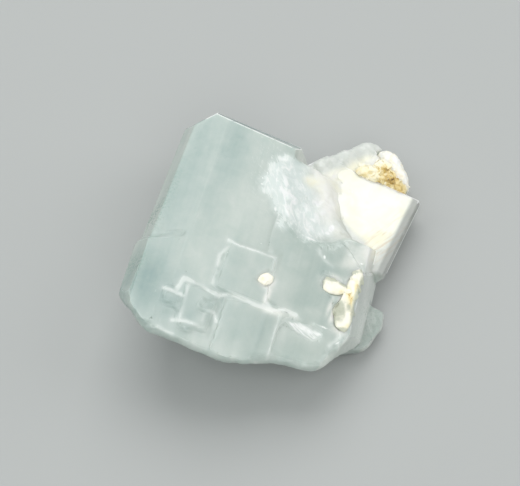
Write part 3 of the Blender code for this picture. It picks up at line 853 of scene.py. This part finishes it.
def pebble(outline, rows, wider, rough, lumps, seed, around=120, up=40):
    """A closed grain: middle + width(v) * ring(u), at height(v), then out by rough * noise(lumps * place)."""
    ring = ring_of(outline, around)
    along = np.roll(ring, -1, axis=0) - np.roll(ring, 1, axis=0)
    outward = unit(columns(along[:, 1], -along[:, 0]))
    middle = ring.mean(axis=0)
    widths, heights = np.array(rows, float).T
    run = np.concatenate(([0.0], np.cumsum(np.hypot(np.diff(widths) * 2.0, np.diff(heights)))))
    v = np.linspace(0.0, run[-1], up)
    width, high = np.interp(v, run, widths), np.interp(v, run, heights)
    places = np.empty((up, around, 3))
    places[..., :2] = middle + (ring - middle + outward * wider) * width[:, None, None]
    places[..., 2] = high[:, None]
    skin = places.reshape(-1, 3)
    ends = np.array([(*middle, high[0]), (*middle, high[-1])])
    number = np.arange(up * around).reshape(up, around)
    here, after = number.reshape(-1), np.roll(number, -1, axis=1).reshape(-1)
    i, j = here[:-around], after[:-around]
    low, top = np.full(around, len(skin)), np.full(around, len(skin) + 1)
    sides = (columns(i, j, j + around), columns(i, j + around, i + around))
    caps = (columns(low, after[:around], here[:around]), columns(top, here[-around:], after[-around:]))
    faces = np.vstack(sides + caps)
    skin = np.vstack((skin, ends))
    amount = layered(skin * lumps, 3, seed) * rough
    amount += (ridged(skin * lumps * 2.3, 2, seed + 5) - 0.7) * rough * 0.5
    return skin + point_normals(skin, faces) * amount[:, None], faces


def scatter(count, seed, low=0.0, high=1.0):
    """That many repeatable random numbers."""
    row = np.arange(count)
    return low + (high - low) * hashed(columns(row, row, row), seed)


def leaves(skin, faces, count, long, thick, tilt, seed):
    """Thin six-sided leaves: corner = spot + (cos(turn) * u + sin(turn) * w) * size, above and below."""
    directions = point_normals(skin, faces)
    open_spots = np.flatnonzero(directions[:, 2] > 0.1)
    chosen = open_spots[(scatter(count, seed) * len(open_spots)).astype(int)]
    spots = skin[chosen]
    wild = columns(*(scatter(count, seed + i, -1, 1) for i in (1, 2, 3)))
    axis = unit(directions[chosen] * (1 - tilt) + wild * tilt)
    u = unit(np.cross(axis, wild[:, ::-1] + (0.3, 0.1, 0.2)))
    w = np.cross(axis, u)
    size = scatter(count, seed + 4, 0.35, 1.0) ** 1.5 * long
    turns = np.arange(6) / 6 * 2 * math.pi
    corner_cells = np.stack(np.indices((count, 6)), axis=-1).reshape(-1, 2)[:, [0, 1, 1]]
    uneven = 1 + 0.35 * (hashed(corner_cells, seed) - 0.5)
    uneven = uneven.reshape(count, 6, 1) * size[:, None, None]
    cosines, sines = np.cos(turns)[None, :, None], np.sin(turns)[None, :, None]
    flat = (cosines * u[:, None] + 0.62 * sines * w[:, None]) * uneven
    lift = axis[:, None] * (thick * scatter(count, seed + 6, 0.5, 1.2))[:, None, None]
    corners = np.concatenate((spots[:, None] + flat - lift, spots[:, None] + flat + lift), axis=1)
    ring = np.arange(6)
    after = (ring + 1) % 6
    fan = columns(np.zeros(4, int), np.arange(1, 5), np.arange(2, 6))
    one = np.vstack(
        (fan + 6, fan[:, ::-1], columns(ring, after, after + 6), columns(ring, after + 6, ring + 6))
    )
    every = (one[None] + 12 * np.arange(count)[:, None, None]).reshape(-1, 3)
    return corners.reshape(-1, 3), every, np.repeat(scatter(count, seed + 7), 12)


def grain(node, slot, outline, rows, wider, rough, lumps, seed, material, tints, foil=None, veils=()):
    """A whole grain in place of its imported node: a pebble, its leaves, and its tint, veil and shade."""
    skin, faces = pebble(outline, rows, wider, rough, lumps, seed)
    shade, smooth_count = 0.5 + 0.5 * layered(skin * 1.4, 3, seed + 9), len(faces)
    if foil:
        more, more_faces, more_shade = leaves(skin, faces, *foil, seed + 20)
        faces = np.vstack((faces, more_faces + len(skin)))
        skin, shade = np.vstack((skin, more)), np.concatenate((shade, more_shade))
    fields = {"gold": blobs_of(skin, tints), "veil": blobs_of(skin, veils), "shade": shade.clip(0, 1)}
    made = piece(node + "_skin", skin, faces, fields, flat_from=smooth_count)
    made.data.materials.append(material)
    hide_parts(node)
    print(node, len(faces), "faces")


# %% [markdown]
# ## What the guest minerals are made of
# Mica splits into leaves that gleam like brass where iron has stained them, and look like cream where
# they are fresh. One recipe covers both: a ramp from cream to dark brown, read by the drawn gold field,
# each leaf's own shade, and noise. Feldspar is a chalky, slightly glowing white.

# %% Mica and feldspar
def mica(name, strength):
    recipe = Recipe(name)
    gold, shade = recipe.field("gold"), recipe.field("shade")
    veil, fine = recipe.field("veil"), recipe.noise(1500, 5.0, 0.65, 0.6)
    level = gold * strength + (shade - 0.5) * 0.5 * (gold + 0.25) + (fine - 0.5) * 0.6 * (gold + 0.15)
    colour = recipe.ramp(
        level, (0, 254, 251, 234), (0.22, 250, 242, 208), (0.44, 240, 224, 170), (0.66, 220, 194, 122),
        (0.88, 178, 146, 80), (1, 120, 96, 54),
    )
    colour = recipe.mix((veil * (fine + 0.5)).over(0.1, 0.9), colour, linear(190, 194, 174))
    shader = recipe.principled(
        Base_Color=colour, Roughness=0.5 - gold * 0.2, Normal=recipe.bump(fine * 0.6 + shade * 0.2, 0.0001),
        IOR=1.58, Coat_Weight=0.12, Coat_Roughness=0.3,
    )
    return recipe.done(shader)


def white_feldspar():
    recipe = Recipe("white_feldspar")
    gold, shade = recipe.field("gold"), recipe.field("shade")
    fine = recipe.noise(1100, 5.0, 0.6, 0.4)
    level = shade * 0.5 + fine * 0.5
    chalk = recipe.ramp(level, (0.3, 240, 233, 214), (0.5, 252, 249, 236), (0.7, 255, 255, 248))
    colour = recipe.mix(gold * fine.over(0.4, 0.6), chalk, linear(222, 200, 150))
    shader = recipe.principled(
        Base_Color=colour, Roughness=0.42 + fine * 0.2, Normal=recipe.bump(fine, 0.00016), IOR=1.53,
        Subsurface_Weight=0.7, Subsurface_Radius=(1.0, 0.95, 0.85), Subsurface_Scale=0.0012,
    )
    return recipe.done(shader)


golden, creamy_mica, chalky = mica("golden_mica", 0.72), mica("cream_mica", 0.62), white_feldspar()

# %% The five grains
CRUST_OUTLINE = (
    (12.5, 19.3), (13.6, 20.6), (15.4, 21.4), (16.3, 23.2), (17.3, 24.2), (18.9, 23.2), (20.7, 21.6),
    (22.4, 19.2), (22, 17.7), (19.6, 17.9), (16.9, 18.3), (14.8, 18.5),
)
KNOB_OUTLINE = (
    (15.9, 25.2), (17, 26.1), (18.3, 25.9), (20.4, 24.2), (22.1, 21.3), (22.8, 19), (21, 18.8), (18, 21),
)
grain(
    "mica_crust", "golden_mica", CRUST_OUTLINE,
    ((0.45, -6.3), (0.9, -5.6), (1, -4.6), (0.96, -3.9), (0.78, -3.4), (0.5, -3.1), (0.2, -3)),
    0.25, 0.42, 0.75, 301, golden,
    (
        (19.2, 19.4, 3.2, 1.9, -24, 1), (17.6, 20.9, 1.1, 1.2, 0, 0.95), (17.5, 18.4, 1, 1, 0, 1),
        (21.4, 18.2, 1.4, 1.2, -20, 1), (14.4, 18.9, 2, 1.2, 10, 0.5), (13.2, 19.4, 1.2, 0.9, 30, 0.42),
    ),
    (110, 0.85, 0.05, 0.45),
)
grain(
    "feldspar_knob", "white_feldspar", KNOB_OUTLINE,
    ((0.35, -8.1), (0.8, -7.2), (1, -5.8), (0.98, -4.4), (0.82, -3.5), (0.55, -3), (0.25, -2.75)),
    0.12, 0.2, 0.6, 311, chalky,
    ((18.6, 21.2, 2, 0.7, -35, 0.7), (21.6, 19.2, 0.9, 0.5, 0, 0.8)),
)
grain(
    "mica_seam", "cream_mica",
    (
        (16.9, -2.9), (17.4, -4.4), (17.1, -7.2), (17, -10), (17.2, -12.8), (16.6, -15.1), (15.2, -14.4),
        (14.4, -11.8), (15.2, -9.4), (15.6, -6.4), (16.2, -4.2),
    ),
    ((0.5, -1.4), (0.85, -0.8), (1, -0.2), (0.97, 0), (0.8, 0.1), (0.5, 0.16), (0.2, 0.18)),
    0.32, 0.1, 0.7, 321, creamy_mica,
    (
        (16.2, -9, 0.5, 1.5, 14, 1.25), (16.05, -8.5, 0.3, 0.4, 0, 1.8), (16.8, -6.7, 0.3, 1.3, 6, 0.75),
        (16.4, -14.9, 0.35, 0.4, 0, 1.3), (16.9, -14.1, 0.5, 0.5, 0, 0.5),
    ),
    (30, 0.9, 0.03, 0.06),
    (
        (15, -11.6, 0.9, 2, 12, 1.5), (17.6, -9.4, 0.7, 4.6, 0, 1.3), (16.4, -10.7, 0.6, 1, 0, 0.8),
        (14.7, -7.4, 0.6, 2.4, -12, 1.3), (17.7, -5.6, 0.6, 2, 0, 1.2), (16.3, -15.2, 1.4, 0.7, 12, 1.4),
        (14.3, -13.3, 0.6, 1.5, 20, 1.4), (15.4, -4, 0.6, 1.6, -20, 1.3), (17.4, -2.9, 0.8, 0.7, 0, 1.2),
    ),
)
grain(
    "mica_flake", "cream_mica",
    (
        (11.5, -7.4), (12, -6.6), (13.2, -6.5), (14.3, -6.9), (15.2, -7.1), (15.4, -7.8), (14.2, -8.6),
        (12.9, -8.9), (11.9, -8.7),
    ),
    ((0.5, -1), (0.9, -0.6), (1, -0.15), (0.95, 0.02), (0.75, 0.12), (0.4, 0.18), (0.15, 0.2)),
    0.3, 0.1, 0.7, 331, creamy_mica,
    ((14.6, -8.3, 0.6, 0.5, 0, 0.45), (12, -8.6, 0.4, 0.3, 0, 0.3)),
    (10, 0.8, 0.03, 0.06),
    ((12.3, -6.5, 1.5, 0.6, 4, 1.4), (14.6, -6.8, 1, 0.5, -12, 1.2), (11.1, -7.6, 0.6, 1, 0, 1.2)),
)
grain(
    "mica_speck", "cream_mica",
    ((1.3, -11.3), (1.5, -10.5), (2.2, -9.9), (3, -10.2), (3, -11), (2.2, -11.6)),
    ((0.5, -0.3), (0.9, -0.1), (1.05, 0.1), (0.95, 0.26), (0.7, 0.38), (0.4, 0.44), (0.15, 0.46)),
    0.34, 0.1, 0.8, 341, creamy_mica,
    ((1.6, -11, 0.4, 0.4, 0, 0.45),),
    (6, 0.5, 0.03, 0.06),
)

# %% [markdown]
# ## Floor, light and camera
# A plain pale floor, a broad soft light from behind and above that rakes across the ledges, weaker ones
# from the left, the front and the right, and an even sky. The camera looks down at 56 degrees, turned 14
# degrees to the right.

# %% The floor
def plain_floor():
    recipe = Recipe("plain_floor")
    return recipe.done(recipe.principled(Base_Color=linear(176, 179, 177), Roughness=0.7))


floor_mesh = bpy.data.meshes.new("floor")
floor_mesh.from_pydata([(x, y, 0.0) for x, y in ((-2, -2), (2, -2), (2, 2), (-2, 2))], [], [(0, 1, 2, 3)])
floor = bpy.data.objects.new("floor", floor_mesh)
floor.data.materials.append(plain_floor())
bpy.context.scene.collection.objects.link(floor)
print("floor laid")

# %% The lights
PANEL_DISTANCE = 0.9


def direction_to(azimuth_deg, elevation_deg):
    """The direction from the specimen to something that stands there; azimuth 0 is the front."""
    azimuth, elevation = math.radians(azimuth_deg), math.radians(elevation_deg)
    level = math.cos(elevation)
    return Vector((math.sin(azimuth) * level, -math.cos(azimuth) * level, math.sin(elevation)))


def soft_light(name, azimuth_deg, elevation_deg, size, watts):
    """A square panel in that direction from the specimen, facing it."""
    towards = direction_to(azimuth_deg, elevation_deg)
    data = bpy.data.lights.new(name, "AREA")
    data.size, data.energy = size, watts
    lamp = bpy.data.objects.new(name, data)
    lamp.location = towards * PANEL_DISTANCE
    lamp.rotation_euler = towards.to_track_quat("Z", "Y").to_euler()
    bpy.context.scene.collection.objects.link(lamp)


soft_light("key_panel", 196, 58, 0.8, 4.9)
soft_light("left_panel", 290, 42, 0.6, 1.6)
soft_light("front_panel", 20, 50, 0.8, 3.3)
soft_light("right_panel", 110, 34, 0.6, 1.5)
world = bpy.data.worlds.new("even_sky")
world.use_nodes = True
sky = world.node_tree.nodes["Background"].inputs
sky["Color"].default_value = (0.93, 0.97, 1.0, 1.0)
sky["Strength"].default_value = 0.30
bpy.context.scene.world = world
bpy.context.scene.view_settings.view_transform = "Standard"

# %% The camera
AZIMUTH_DEG, ELEVATION_DEG, DISTANCE = 14, 56, 0.2
FRAME_WIDTH, MM_PER_PIXEL = 520, 0.17
SHIFT_RIGHT, SHIFT_UP = -9, -1
SENSOR_WIDTH, AIM_HEIGHT = 36.0, 8.0

towards = direction_to(AZIMUTH_DEG, ELEVATION_DEG)
right = direction_to(AZIMUTH_DEG + 90, 0)
turn = Matrix((right, towards.cross(right), towards)).transposed().to_4x4()
aim = Vector((ORIGIN[0], ORIGIN[1], AIM_HEIGHT)) * MM
camera = bpy.data.objects.new("camera", bpy.data.cameras.new("camera"))
camera.matrix_world = Matrix.Translation(aim + towards * DISTANCE) @ turn
camera.data.sensor_width = SENSOR_WIDTH
camera.data.lens = SENSOR_WIDTH * DISTANCE / (FRAME_WIDTH * MM_PER_PIXEL * MM)
camera.data.shift_x, camera.data.shift_y = SHIFT_RIGHT / FRAME_WIDTH, SHIFT_UP / FRAME_WIDTH
camera.data.clip_start = 0.01
bpy.context.scene.collection.objects.link(camera)
bpy.context.scene.camera = camera
print("lens", round(camera.data.lens, 1), "mm")
